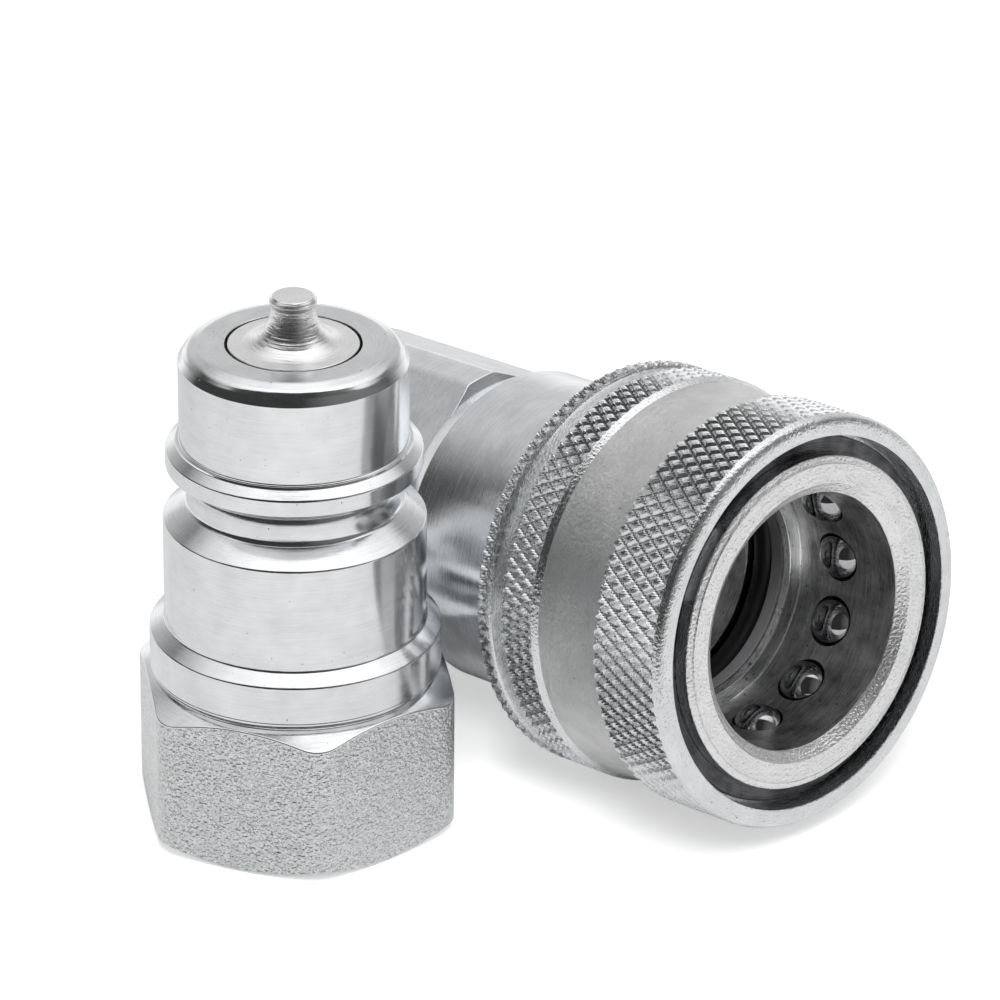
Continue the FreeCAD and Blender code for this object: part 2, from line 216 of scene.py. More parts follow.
def times(add, a, b):
    return add("ShaderNodeMath", {0: a, 1: b}, operation="MULTIPLY").outputs[0]


def plus(add, a, b):
    return add("ShaderNodeMath", {0: a, 1: b}, operation="ADD").outputs[0]


def steel(name, half, look):
    # turned and plated steel: rings from noise over radius and depth, scratches from noise stretched
    # round the axis, pits from a threshold on fine noise, clouds and grain in the plating
    material = bpy.data.materials.new(name)
    material.use_nodes = True
    add = nodeTool(material)
    local, radius, angle, depth = axisCoordinates(add, half)
    ringAt = add("ShaderNodeCombineXYZ", {0: times(add, radius, look["ringFace"]), 1: times(add, angle, 0.4),
                                          2: times(add, depth, look["ringWall"])}).outputs[0]
    rings = noise(add, ringAt, look["ringScale"], 3.0, 0.6)
    scratchAt = add("ShaderNodeCombineXYZ", {0: times(add, angle, look["scratchTurn"]),
                                             1: times(add, radius, 6.0),
                                             2: times(add, depth, 6.0)}).outputs[0]
    scratches = noise(add, scratchAt, look["scratchScale"], 3.0, 0.75)
    clouds = noise(add, local, look["cloudScale"], 3.0, 0.6)
    grain = noise(add, local, look["grainScale"], 2.0, 0.5)
    specks = noise(add, local, look["pitScale"], 2.0, 0.5)
    pits = ranged(add, specks, look["pitFrom"], look["pitFrom"] + 0.05, 0.0, 1.0)
    streaks = plus(add, times(add, clouds, 0.5), times(add, scratches, 0.5))
    colour = add("ShaderNodeMix", {0: ranged(add, streaks, 0.35, 0.62, 0.0, 1.0), 6: look["dark"],
                                   7: look["light"]}, data_type="RGBA").outputs[2]
    pitted = add("ShaderNodeMix", {0: times(add, pits, look["pitDark"]), 6: colour,
                                   7: (0.06, 0.06, 0.065, 1)}, data_type="RGBA").outputs[2]
    rough = plus(add, ranged(add, scratches, 0.25, 0.75, look["rough"][0], look["rough"][1]),
                 times(add, pits, 0.2))
    height = plus(add, times(add, rings, look["ringHeight"]), times(add, scratches, look["scratchHeight"]))
    height = plus(add, height, times(add, pits, -look["pitHeight"]))
    height = plus(add, height, times(add, clouds, look["cloudHeight"]))
    height = plus(add, height, times(add, grain, look["grainHeight"]))
    bump = add("ShaderNodeBump", {"Height": height, "Distance": mm, "Strength": 1.0}).outputs[0]
    shader = add("ShaderNodeBsdfPrincipled", {"Base Color": pitted, "Metallic": 1.0, "Roughness": rough,
                                              "Normal": bump})
    add("ShaderNodeOutputMaterial", {"Surface": shader.outputs[0]})
    return material


def steelLook(**changes):
    # heights are millimetres, scales are per millimetre
    look = {
        "light": (0.86, 0.87, 0.88, 1), "dark": (0.72, 0.73, 0.74, 1), "rough": (0.08, 0.2),
        "ringScale": 3.0, "ringFace": 1.0, "ringWall": 1.0, "ringHeight": 0.002, "scratchScale": 1.0,
        "scratchTurn": 3.0, "scratchHeight": 0.002, "cloudScale": 0.35, "cloudHeight": 0.003,
        "grainScale": 2.2, "grainHeight": 0.003, "pitScale": 2.6, "pitFrom": 0.7, "pitHeight": 0.03,
        "pitDark": 0.8,
    }
    look.update(changes)
    return look


turnedPlug = steel("turnedPlug", "plug", steelLook(ringHeight=0.004, scratchHeight=0.004, pitFrom=0.75,
                                                   pitScale=3.4))
forgedPlug = steel("forgedPlug", "plug", steelLook(rough=(0.2, 0.32), cloudScale=1.2, cloudHeight=0.02,
                                                   grainScale=3.2, grainHeight=0.3, ringHeight=0.0,
                                                   scratchHeight=0.0, pitFrom=0.64, pitScale=4.6,
                                                   pitHeight=0.06, pitDark=0.45))
facedPlug = steel("facedPlug", "plug", steelLook(rough=(0.16, 0.3), ringHeight=0.004))
poppetLook = steelLook(light=(0.97, 0.97, 0.97, 1), dark=(0.85, 0.85, 0.86, 1), rough=(0.24, 0.36),
                       ringHeight=0.1, ringScale=1.0, ringFace=0.5, ringWall=3.6, pitFrom=0.8)
poppetSteelPlug = steel("poppetSteelPlug", "plug", poppetLook)
poppetSteelSocket = steel("poppetSteelSocket", "socket", poppetLook)
turnedSocket = steel("turnedSocket", "socket", steelLook())
rearSteel = steel("rearSteel", "socket", steelLook(light=(0.93, 0.94, 0.96, 1), dark=(0.74, 0.76, 0.78, 1),
                                                   rough=(0.2, 0.3), ringHeight=0.0, scratchHeight=0.0,
                                                   cloudHeight=0.02, pitFrom=0.76))
mouthFace = steel("mouthFace", "socket", steelLook(light=(0.97, 0.97, 0.97, 1), dark=(0.84, 0.84, 0.85, 1),
                                                   rough=(0.24, 0.4), ringScale=1.6, ringHeight=0.08,
                                                   grainScale=3.8, grainHeight=0.13, pitFrom=0.68,
                                                   pitScale=4.4, pitDark=0.6))
boreSteel = steel("boreSteel", "socket", steelLook(light=(0.97, 0.97, 0.97, 1), dark=(0.3, 0.3, 0.31, 1),
                                                   rough=(0.2, 0.5), ringScale=0.8, ringHeight=0.06,
                                                   scratchHeight=0.04, scratchTurn=5.0, cloudHeight=0.06,
                                                   grainHeight=0.02))
stepSteel = steel("stepSteel", "socket", steelLook(light=(0.98, 0.98, 0.98, 1), rough=(0.16, 0.34),
                                                   cloudHeight=0.06, pitFrom=0.64, pitScale=3.2))
# painted shade: the ball holes' walls and lips get near-black steel that stands in for the shade inside the
# holes
holePaintedShade = steel("holePaintedShade", "socket", steelLook(light=(0.1, 0.1, 0.1, 1), dark=(0.03, 0.03, 0.03, 1),
                                                   rough=(0.35, 0.5)))
waistSteel = steel("waistSteel", "socket", steelLook(light=(0.78, 0.78, 0.78, 1), dark=(0.6, 0.6, 0.6, 1),
                                                     rough=(0.26, 0.4), scratchScale=2.2, scratchTurn=9.0,
                                                     scratchHeight=0.06, cloudHeight=0.0, grainHeight=0.06,
                                                     pitFrom=0.74))
sleeveSteel = steel("sleeveSteel", "socket", steelLook(rough=(0.2, 0.34), grainScale=3.6, grainHeight=0.08,
                                                       pitScale=4.2, pitFrom=0.68, pitDark=0.6))
knurlSteel = steel("knurlSteel", "socket", steelLook(rough=(0.2, 0.34), ringHeight=0.0, scratchHeight=0.0,
                                                     grainScale=4.0, grainHeight=0.012))
ringSteel = steel("ringSteel", "socket", steelLook(light=(0.13, 0.13, 0.135, 1),
                                                   dark=(0.025, 0.025, 0.027, 1), rough=(0.14, 0.35),
                                                   scratchHeight=0.02, ringHeight=0.02))
ballSteel = steel("ballSteel", "socket", steelLook(light=(0.5, 0.5, 0.51, 1), dark=(0.4, 0.4, 0.41, 1),
                                                   rough=(0.04, 0.1), ringHeight=0.0, scratchHeight=0.0,
                                                   cloudHeight=0.0, grainHeight=0.0, pitFrom=0.9))
springSteel = steel("springSteel", "socket", steelLook(light=(0.6, 0.6, 0.61, 1), rough=(0.25, 0.35)))


def softMaterial(name, colour, rough, grain):
    # rubber or plastic: fine grain in height and roughness
    material = bpy.data.materials.new(name)
    material.use_nodes = True
    add = nodeTool(material)
    local = axisCoordinates(add, "socket")[0]
    fine = noise(add, local, 9.0, 4.0, 0.6)
    broad = noise(add, local, 0.8, 2.0, 0.5)
    tone = add("ShaderNodeMix", {0: broad, 6: tuple(0.8 * c for c in colour) + (1,), 7: tuple(colour) + (1,)},
               data_type="RGBA").outputs[2]
    bump = add("ShaderNodeBump", {"Height": times(add, fine, grain), "Distance": mm,
                                  "Strength": 1.0}).outputs[0]
    shader = add("ShaderNodeBsdfPrincipled", {"Base Color": tone, "Normal": bump,
                                              "Roughness": ranged(add, fine, 0.2, 0.8, rough[0], rough[1])})
    add("ShaderNodeOutputMaterial", {"Surface": shader.outputs[0]})
    return material


sealRubber = softMaterial("sealRubber", (0.012, 0.012, 0.013), (0.25, 0.45), 0.004)
backupPlastic = softMaterial("backupPlastic", (0.3, 0.3, 0.31), (0.35, 0.5), 0.003)
print("materials ready")


# Plug half

plug = {
    "height": 46.5, "hexAcross": 27.0, "hexRound": 3.2, "hexHeight": 14.6, "hexFoot": 13.0, "hexTurn": -3.7,
    "hexSlope": 30.0, "neck": 0.35, "flange": 13.15, "flangeTop": 18.9, "land": 11.8, "landBottom": 19.9,
    "landTop": 29.75, "groove": 9.5, "grooveBottom": 31.4, "flareBottom": 32.07, "collar": 11.5,
    "collarBottom": 34.95, "collarTop": 36.5, "nose": 10.25, "noseBottom": 37.4, "noseBand": 1.55,
    "pocketBottom": 16.8, "threadTop": 15.0, "edge": 0.14, "columns": 360,
}
port = {"minor": 9.32, "mouth": 10.6, "threadDepth": 1.1, "pitch": 1.814, "rowsPerPitch": 12}
valve = {
    "aperture": 6.1, "apertureDepth": 1.45, "chamber": 8.2, "head": 5.85, "nib": 4.6, "tip": 1.75,
    "rim": 2.15, "rimHeight": 0.5, "neck": 1.9, "flareTop": 3.4, "foot": 4.6, "grooveFront": 2.29,
    "groove": 3.75, "skirt": 4.55, "skirtRadius": 7.7, "stem": 2.5, "stemCollar": 3.4,
    "collarDepth": 15.25, "stemEnd": 24.5, "guideDepth": 20.5, "guidePocket": 8.91,
}


def hexRadius(across, rounding, turn, columns):
    # distance from the axis to a hexagon with rounded corners: across / 2 / cos(a) on a flat, and on a
    # corner the far side of a circle of the rounding radius about a point on the corner's line
    angle = 2 * np.pi * np.arange(columns) / columns - math.radians(turn)
    away = np.abs(angle % (np.pi / 3) - np.pi / 6)
    fromCorner = np.pi / 6 - away
    flatLine = across / 2 / np.cos(away)
    centre = (across / 2 - rounding) / math.cos(np.pi / 6)
    aside = centre * np.sin(fromCorner)
    inCorner = centre * np.cos(fromCorner) + np.sqrt(np.maximum(rounding ** 2 - aside ** 2, 0))
    half = (across / 2 - rounding) * math.tan(np.pi / 6)
    return np.where(across / 2 * np.tan(away) <= half, flatLine, inCorner)


def threadRows(bottom, top, columns):
    # rounded thread as a height over depth and angle: half a cosine wave of depth / pitch minus the turn,
    # eased at both ends; rows run from top to bottom
    count = int((top - bottom) / port["pitch"] * port["rowsPerPitch"])
    z = np.linspace(top, bottom, count)[:, None]
    turn = np.arange(columns)[None, :] / columns
    wave = 0.5 - 0.5 * np.cos(2 * np.pi * (z / port["pitch"] - turn))
    ease = np.clip(np.minimum(top - z, z - bottom) / (0.6 * port["pitch"]), 0, 1)
    r = port["minor"] + port["threadDepth"] * ease * wave
    return [(r[i], z[i, 0], 0.0) for i in range(count)]


def plugBody():
    p, v, columns = plug, valve, plug["columns"]
    slope = math.tan(math.radians(p["hexSlope"]))
    hexLine = hexRadius(p["hexAcross"], p["hexRound"], p["hexTurn"], columns)
    guideTop = p["height"] - v["guideDepth"]
    lead = port["mouth"] - port["minor"]
    e = p["edge"]
    outline = [
        (port["mouth"], 0, e),
        (p["hexFoot"], 0, e),
        (hexLine, (hexLine - p["hexFoot"]) * slope, e),
        (hexLine, p["hexHeight"] - (hexLine - p["flange"]) * slope, e),
        (p["flange"] - p["neck"], p["hexHeight"] + 0.02, 0.05),
        (p["flange"] - p["neck"], p["hexHeight"] + 0.16, 0.08),
        (p["flange"], p["hexHeight"] + 0.5, 0.3),
        (p["flange"], p["hexHeight"] + 0.72, 0.0),
        (p["flange"] - 0.05, p["hexHeight"] + 0.78, 0.05),  # fine line round the flange
        (p["flange"], p["hexHeight"] + 0.84, 0.0),
        (p["flange"], p["flangeTop"], 0.2),
        (p["land"], p["landBottom"], 0.25),
        (p["land"], p["landTop"], 0.2),
        (p["groove"] + 0.1, p["grooveBottom"] - 0.05, 0.6),
    ]
    outline += bend((p["groove"], p["flareBottom"]), (p["groove"], p["collarBottom"] - 0.6),
                    (p["collar"] - 0.15, p["collarBottom"]), 10)
    outline += [
        (p["collar"], p["collarBottom"] + 0.02, 0.2),
        (p["collar"], p["collarTop"], 0.2),
        (p["nose"] + 0.36, p["noseBottom"] - 0.2, 0.1),
        (p["nose"] + 0.3, p["noseBottom"] + 0.02, 0.06),
        (p["nose"], p["noseBottom"] + 0.05, 0.2),
        (p["nose"], p["height"] - p["noseBand"], 0.05),
        (p["nose"] - 0.42, p["height"] - 0.85, 0.9),
        (p["nose"] - 0.85, p["height"] - 0.36, 0.9),
        (p["nose"] - 1.9, p["height"], 1.2),
        (v["aperture"], p["height"], 0.1),
        (v["aperture"], p["height"] - v["apertureDepth"], 0.05),
        (v["chamber"], p["height"] - v["apertureDepth"] - v["chamber"] + v["aperture"], 0.1),
        (v["chamber"], guideTop, 0.05),
        (v["guidePocket"], guideTop, 0.05),
        (v["guidePocket"], p["pocketBottom"], 0.05),
    ]
    outline += threadRows(lead, p["threadTop"], columns)
    band = np.zeros(len(outline), int)
    band[2] = 1  # the hexagon's flats are forged
    top = [index for index, entry in enumerate(outline) if np.isscalar(entry[1]) and entry[1] == p["height"]]
    band[top] = 2
    return turnedPiece("plugShell", outline, columns, onPlug, [turnedPlug, forgedPlug, facedPlug], band)


def poppetPiece(name, place, lift, material):
    v = valve
    outline = [
        (0.0, v["nib"], 0.0),
        (0.0, -v["stemEnd"], 0.0),
        (v["stem"], -v["stemEnd"], 0.2),
        (v["stem"], -v["collarDepth"], 0.05),
        (v["stemCollar"], -v["collarDepth"], 0.1),
        (v["stemCollar"], -v["skirt"], 0.05),
        (v["skirtRadius"], -v["skirt"], 0.15),
        (v["skirtRadius"], -v["groove"], 0.1),
        (v["head"], -v["groove"], 0.05),
        (v["head"], -v["grooveFront"], 0.05),
        (v["head"] + 0.8, -v["grooveFront"], 0.08),
        (v["head"], -v["apertureDepth"], 0.05),
        (v["head"], 0.0, 0.12),
    ]
    outline += bend((v["foot"] + 0.3, 0.0), (v["neck"] + 0.55, 0.35), (v["neck"], v["flareTop"]), 14)
    outline += [
        (v["neck"], v["flareTop"], 0.0),
        (v["neck"], v["nib"] - 2 * v["rimHeight"], 0.15),
        (v["rim"], v["nib"] - v["rimHeight"] - 0.1, 0.2),
        (v["rim"], v["nib"] - v["rimHeight"] + 0.12, 0.12),
        (v["tip"] + 0.05, v["nib"] - 0.02, 0.12),
    ]
    return turnedPiece(name, outline, 192, place, [material], None, lift)


plugShell = plugBody()
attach(plugShell, "frame")
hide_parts("plug_body")
plugNib = poppetPiece("plugNib", onPlug, plug["height"], poppetSteelPlug)
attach(plugNib, "plug_valve")
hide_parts("plug_poppet")
print("plug half made")


# Socket half, heights measured from its mouth along its axis, so depths are negative

body = {
    "bore": 11.9, "leadWidth": 1.05, "leadDepth": 0.75, "boreDepth": 12.65, "noseBore": 10.31,
    "boreSlope": 0.5, "cage": 15.39, "cageEdge": 0.55, "bevel": 0.12, "sealFront": 13.55, "sealRear": 18.0,
    "sealGroove": 12.83, "poppetFace": 21.75, "shoulder": 17.2, "shoulderWidth": 1.25, "rear": 14.85,
    "rearDepth": 37.15, "taper": 13.9, "length": 39.25,
    "ringFront": 1.63, "ringRear": 2.87, "ringGroove": 0.62, "counterbore": 31.21, "spigotBore": 11.51,
    "ballDepth": 7.85, "balls": 12, "ballTurn": 2.6, "holeRest": 12.82, "holeInner": 2.25, "holeOuter": 2.48,
    "patchHalf": 3.1, "sector": 16, "side": 12, "sleeveLength": 23.4,
}
adapter = {
    "corner": 14.75, "cornerRound": 0.2, "frontStep": 1.35, "frontChamfer": 0.75, "rearStep": 1.5,
    "rearChamfer": 1.2, "turn": 96.0, "spigot": 11.45, "spigotFront": 33.25, "length": 66.0, "throat": 7.4,
    "guideFloor": 44.85, "throatEnd": 47.05, "portEnd": 48.85, "columns": 360,
}
sleeve = {
    "radius": 19.0, "front": 19.15, "length": 23.4, "rimInner": 17.25, "rimRound": 0.85, "rimRoll": 1.25,
    "frontKnurlEnd": 8.1, "waistFront": 18.75, "waist": 18.42, "waistRear": 18.6, "waistEnd": 15.65,
    "rearKnurlStart": 16.35, "rearKnurlEnd": 20.1, "groove": 18.45, "tailKnurlStart": 22.15,
    "tailEdge": 0.25, "shoulder": 2.87, "shoulderRadius": 16.55, "landFront": 7.15, "landRear": 10.15,
    "land": 15.45, "chamber": 17.26, "knurlsRound": 88, "samples": 8, "knurlAngle": 30.0,
    "knurlDepth": 0.32, "knurlDish": 0.2, "sharp": 28.0,
}


def knurlRows(top, bottom, radius, columns):
    # height = depth * (min(1, 2 m) - dish * max(0, 2 m - 1)), where m is the smaller distance to the two
    # families of crossing grooves, u + v and u - v, u round the sleeve and v along it
    lean = math.tan(math.radians(sleeve["knurlAngle"]))
    pitch = 2 * np.pi * sleeve["radius"] / sleeve["knurlsRound"] / lean
    step = pitch / sleeve["samples"]
    count = max(2, int(round((bottom - top) / step)))
    v = (np.arange(count + 1) / sleeve["samples"])[:, None]
    u = np.arange(columns)[None, :] * sleeve["knurlsRound"] / columns
    a = 1 - np.abs(2 * ((u + v) % 1) - 1)
    b = 1 - np.abs(2 * ((u - v) % 1) - 1)
    m = 2 * np.minimum(a, b)
    height = sleeve["knurlDepth"] * (np.minimum(1, m) - sleeve["knurlDish"] * np.maximum(0, m - 1))
    r = radius - sleeve["knurlDepth"] + height
    z = -np.linspace(top, bottom, count + 1)
    return [(r[i], z[i], -1.0) for i in range(count + 1)]


def knurlFaces(quads, rowInBand):
    # triangles whose diagonal lies along the groove that crosses each quad
    rows, columns = quads.shape[:2]
    column = np.arange(columns)[None, :] % sleeve["samples"]
    row = rowInBand[:, None] % sleeve["samples"]
    main = ((column - row) % sleeve["samples"]) == 0
    a, b, c, d = (quads[..., k] for k in range(4))
    first = np.where(main[..., None], np.stack([a, b, c], -1), np.stack([a, b, d], -1))
    second = np.where(main[..., None], np.stack([a, c, d], -1), np.stack([b, c, d], -1))
    return np.concatenate([first.reshape(-1, 3), second.reshape(-1, 3)])


def lockingSleeve():
    s = sleeve
    columns = s["knurlsRound"] * s["samples"]
    dip = s["knurlDepth"]
    outline = []
    marks = []  # material of each entry's stretch: 0 smooth, 1 waist, 2 knurl

    def put(entries, mark):
        outline.extend(entries)
        marks.extend([mark] * len(entries))

    # the outline runs from the tail forward along the outside, then back through the inside
    put([(s["chamber"], -s["length"], 0.1), (s["radius"] - s["tailEdge"], -s["length"], 0.06)], 0)
    put(knurlRows(s["tailKnurlStart"], s["length"] - s["tailEdge"], s["radius"], columns)[::-1], 2)
    put([(s["radius"] - dip, -s["tailKnurlStart"] + 0.06, 0.03),
         (s["groove"], -s["tailKnurlStart"] + 0.2, 0.06),
         (s["groove"], -s["rearKnurlEnd"] - 0.2, 0.06),
         (s["radius"] - dip, -s["rearKnurlEnd"] - 0.06, 0.03)], 0)
    put(knurlRows(s["rearKnurlStart"], s["rearKnurlEnd"], s["radius"], columns)[::-1], 2)
    put([(s["radius"] - 0.03, -s["rearKnurlStart"] + 0.06, 0.05)], 0)
    put([(s["waistRear"], -s["waistEnd"], 0.08)], 1)
    middle = 2 * s["waist"] - (s["waistFront"] + s["waistRear"]) / 2
    waistMiddle = -(s["waistEnd"] + s["frontKnurlEnd"]) / 2
    put(bend((s["waistRear"], -s["waistEnd"] + 0.3), (middle, waistMiddle),
             (s["waistFront"], -s["frontKnurlEnd"] - 0.25), 10), 1)
    put([(s["waistFront"], -s["frontKnurlEnd"] - 0.25, 0.05)], 1)
    put([(s["front"] - dip, -s["frontKnurlEnd"] - 0.05, 0.03)], 0)
    put(knurlRows(s["rimRound"], s["frontKnurlEnd"], s["front"], columns)[::-1], 2)
    put([(s["front"] - 0.04, -s["rimRound"] + 0.08, 0.05)], 0)
    put(bend((s["front"] - 0.08, -s["rimRound"] + 0.14), (s["front"] - 0.16, -0.02),
             (s["front"] - s["rimRoll"], 0), 8), 0)
    put([(s["front"] - s["rimRoll"], 0.0, 0.0), (s["rimInner"], 0.0, 0.12),
         (s["rimInner"], -s["shoulder"], 0.0), (s["shoulderRadius"], -s["shoulder"], 0.1),
         (s["land"], -s["landFront"], 0.0), (s["land"], -s["landRear"], 0.0),
         (s["chamber"], -s["landRear"], 0.0)], 0)
    points, edges = spread(outline, columns)
    rows, source = softened(points, edges, 3)
    quads = gridFaces(len(rows), columns)
    marks = np.array(marks)[source]
    # a stretch is knurl only between two knurl rows
    knurled = (marks == 2) & (np.roll(marks, -1) == 2)
    rowInBand = np.zeros(len(rows), int)
    counter = 0
    for index in range(len(rows)):
        counter = counter + 1 if knurled[index] and index and knurled[index - 1] else 0
        rowInBand[index] = counter
    triangles = knurlFaces(quads[knurled], rowInBand[knurled])
    plain = quads[~knurled].reshape(-1, 4)
    plainMarks = np.repeat(np.where(marks[~knurled] == 2, 0, marks[~knurled]), columns)
    faces = plain.tolist() + triangles.tolist()
    faceMaterials = np.concatenate([plainMarks, np.full(len(triangles), 2)])
    shape = onSocket(turnedPoints(rows, columns))
    return makePiece("knurledSleeve", shape, faces, [sleeveSteel, waistSteel, knurlSteel], faceMaterials,
                     s["sharp"])


knurledSleeve = lockingSleeve()
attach(knurledSleeve, "sleeve")
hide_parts("locking_sleeve")
print("sleeve made", len(knurledSleeve.data.polygons))


def holePatch(surface, hole, lipDepth):
    # one sector of a cylinder round a ball hole: straight lines from each point of the hole's circle to
    # the point of the sector's edge at the same angle; x across, z along, then a = sqrt(r^2 - x^2)
    half = np.pi / body["balls"]
    across = surface * np.sin(np.linspace(-half, half, body["sector"] + 1))
    along = np.linspace(-body["patchHalf"], body["patchHalf"], body["side"] + 1)
    low, high = np.full(body["sector"], -body["patchHalf"]), np.full(body["sector"], body["patchHalf"])
    left, right = np.full(body["side"], across[0]), np.full(body["side"], across[-1])
    x = np.concatenate([across[:-1], right, across[:0:-1], left])
    z = np.concatenate([low, along[:-1], high, along[:0:-1]])
    turn = np.arctan2(z, x)
    t = (np.linspace(0, 1, 7) ** 1.5)[:, None]
    gridX = (1 - t) * (hole + lipDepth) * np.cos(turn) + t * x
    gridZ = (1 - t) * (hole + lipDepth) * np.sin(turn) + t * z
    out = np.sqrt(surface ** 2 - gridX ** 2)
    return np.stack([out, gridX, gridZ], -1), turn


def cageSectors():
    # the bore's patch, the tapered hole and the outer patch of each ball, as one grid per sector
    inner, turn = holePatch(body["bore"], body["holeInner"], 0.1)
    outer, turnOuter = holePatch(body["cage"], body["holeOuter"], 0.08)

    def ringAt(radius, out, angles):
        x, z = radius * np.cos(angles), radius * np.sin(angles)
        return np.stack([np.broadcast_to(out, x.shape) if np.isscalar(out) else out, x, z], -1)
    lipOut = np.sqrt(body["bore"] ** 2 - (body["holeInner"] * np.cos(turn)) ** 2) + 0.09
    outerLip = np.sqrt(body["cage"] ** 2 - (body["holeOuter"] * np.cos(turnOuter)) ** 2) - 0.08
    rows = [inner[::-1], ringAt(body["holeInner"], lipOut, turn)[None],
            ringAt(body["holeOuter"], body["holeRest"], (turn + turnOuter) / 2)[None],
            ringAt(body["holeOuter"], outerLip, turnOuter)[None], outer]
    sector = np.concatenate(rows)
    angle = 2 * np.pi / body["balls"] * np.arange(body["balls"]) + math.radians(body["ballTurn"])
    angle = angle[:, None, None]
    out, x, z = sector[..., 0][None], sector[..., 1][None], sector[..., 2][None]
    points = np.stack([out * np.cos(angle) - x * np.sin(angle), out * np.sin(angle) + x * np.cos(angle),
                       np.broadcast_to(z - body["ballDepth"], (body["balls"],) + z.shape[1:])], -1)
    count, columns = sector.shape[:2]
    faces = gridFaces(count, columns, closed=False)
    offset = (np.arange(body["balls"]) * count * columns)[:, None, None, None]
    return points, (faces[None] + offset).reshape(-1, 4)


def socketShell():
    b, v = body, valve
    columns = b["balls"] * b["sector"]
    front, rear = -b["ballDepth"] + b["patchHalf"], -b["ballDepth"] - b["patchHalf"]
    mouth = [
        (b["cage"], front, 0.0),
        (b["cage"], -b["ringRear"], 0.05),
        (b["cage"] - b["ringGroove"], -b["ringRear"], 0.05),
        (b["cage"] - b["ringGroove"], -b["ringFront"], 0.05),
        (b["cage"], -b["ringFront"], 0.06),
        (b["cage"], -b["bevel"] - 0.12, 0.14),
        (b["cage"] - b["cageEdge"], -0.1, 0.04),
        (b["cage"] - b["cageEdge"] - 0.1, -0.14, 0.04),
        (b["cage"] - b["cageEdge"] - 0.14, 0.0, 0.04),
        (b["bore"] + b["leadWidth"], 0.0, 0.1),
        (b["bore"], -b["leadDepth"], 0.12),
        (b["bore"], front, 0.0),
    ]
    inside = [
        (b["bore"], rear, 0.0),
        (b["bore"], -b["boreDepth"], 0.25),
        (b["noseBore"] + 0.3, -b["boreDepth"] - 0.05, 0.15),
        (b["noseBore"], -b["boreDepth"] - b["boreSlope"] - 0.15, 0.12),
        (b["noseBore"], -b["sealFront"], 0.08),
        (b["sealGroove"], -b["sealFront"], 0.05),
        (b["sealGroove"], -b["sealRear"], 0.05),
        (b["noseBore"], -b["sealRear"], 0.12),
        (b["noseBore"], -b["poppetFace"], 0.2),
        (v["aperture"], -b["poppetFace"], 0.1),
        (v["aperture"], -b["poppetFace"] - v["apertureDepth"], 0.05),
        (v["chamber"], -b["poppetFace"] - v["apertureDepth"] - v["chamber"] + v["aperture"], 0.1),
        (v["chamber"], -b["counterbore"], 0.05),
        (b["spigotBore"], -b["counterbore"], 0.05),
        (b["spigotBore"], -b["length"], 0.1),
        (b["taper"], -b["length"], 0.1),
        (b["rear"], -b["rearDepth"], 0.15),
        (b["rear"], -b["sleeveLength"], 0.1),
        (b["shoulder"], -b["sleeveLength"], 0.15),
        (b["shoulder"], -b["sleeveLength"] + b["shoulderWidth"], 0.1),
        (b["cage"], -b["sleeveLength"] + b["shoulderWidth"], 0.05),
        (b["cage"], rear, 0.0),
    ]
    # material of each entry's stretch, by its place in the list given to makePiece
    mouthMarks = (0,) * 5 + (1,) * 5 + (2,) * 2
    insideMarks = (2, 5, 5) + (2,) * 8 + (0,) * 4 + (4,) * 2 + (0,) * 5
    turn = np.arange(columns) * 2 * np.pi / columns + math.radians(b["ballTurn"]) - np.pi / b["balls"]
    allPoints, allFaces, allMarks, base = [], [], [], 0
    for outline, marks in ((mouth, mouthMarks), (inside, insideMarks)):
        points, edges = spread(outline, columns)
        rows, source = softened(points, edges)
        r, z = rows[..., 0], rows[..., 1]
        allPoints.append(np.stack([r * np.cos(turn), r * np.sin(turn), z], -1).reshape(-1, 3))
        allFaces.append(gridFaces(len(rows), columns, closed=False).reshape(-1, 4) + base)
        allMarks.append(np.repeat(np.array(marks)[source][:-1], columns))
        base += len(allPoints[-1])
    sectors, sectorFaces = cageSectors()
    allPoints.append(sectors.reshape(-1, 3))
    allFaces.append(sectorFaces + base)
    strips = np.full((b["balls"], sectors.shape[1] - 1, sectors.shape[2]), 2)
    strips[:, 6:10] = 3  # the hole's own walls and lips, painted near black as painted shade inside the hole
    allMarks.append(strips.reshape(-1))
    shape = onSocket(np.concatenate(allPoints))
    return makePiece("socketShell", shape, np.concatenate(allFaces).tolist(),
                     [turnedSocket, mouthFace, boreSteel, holePaintedShade, rearSteel, stepSteel],
                     np.concatenate(allMarks))


socketBody = socketShell()
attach(socketBody, "frame")
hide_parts("socket_body")


def adapterPiece():
    a, v, columns = adapter, valve, adapter["columns"]
    hexLine = np.minimum(hexRadius(plug["hexAcross"], a["cornerRound"], a["turn"], columns), a["corner"])
    shoulder = a["corner"] - a["frontStep"]
    slope = a["frontChamfer"] / a["frontStep"]
    rearLine = a["corner"] - a["rearStep"]
    rearSlope = a["rearChamfer"] / a["rearStep"]
    lead = port["mouth"] - port["minor"]
    outline = [
        (port["mouth"], -a["length"], 0.1),
        (port["minor"], -a["length"] + lead, 0.08),
    ]
    outline += threadRows(-a["length"] + lead, -a["portEnd"], columns)[::-1]
    outline += [
        (a["throat"], -a["throatEnd"], 0.1),
        (a["throat"], -a["guideFloor"], 0.1),
        (v["guidePocket"], -a["guideFloor"], 0.05),
        (v["guidePocket"], -a["spigotFront"], 0.1),
        (a["spigot"], -a["spigotFront"], 0.1),
        (a["spigot"], -body["length"], 0.05),
        (shoulder, -body["length"], 0.1),
        (hexLine, -body["length"] - np.maximum(hexLine - shoulder, 0.02) * slope, 0.12),
        (hexLine, -a["length"] + np.maximum(hexLine - rearLine, 0.02) * rearSlope, 0.12),
        (np.minimum(rearLine, hexLine - 0.05), -a["length"], 0.1),
    ]
    return turnedPiece("adapterShell", outline[::-1], columns, onSocket, [rearSteel])


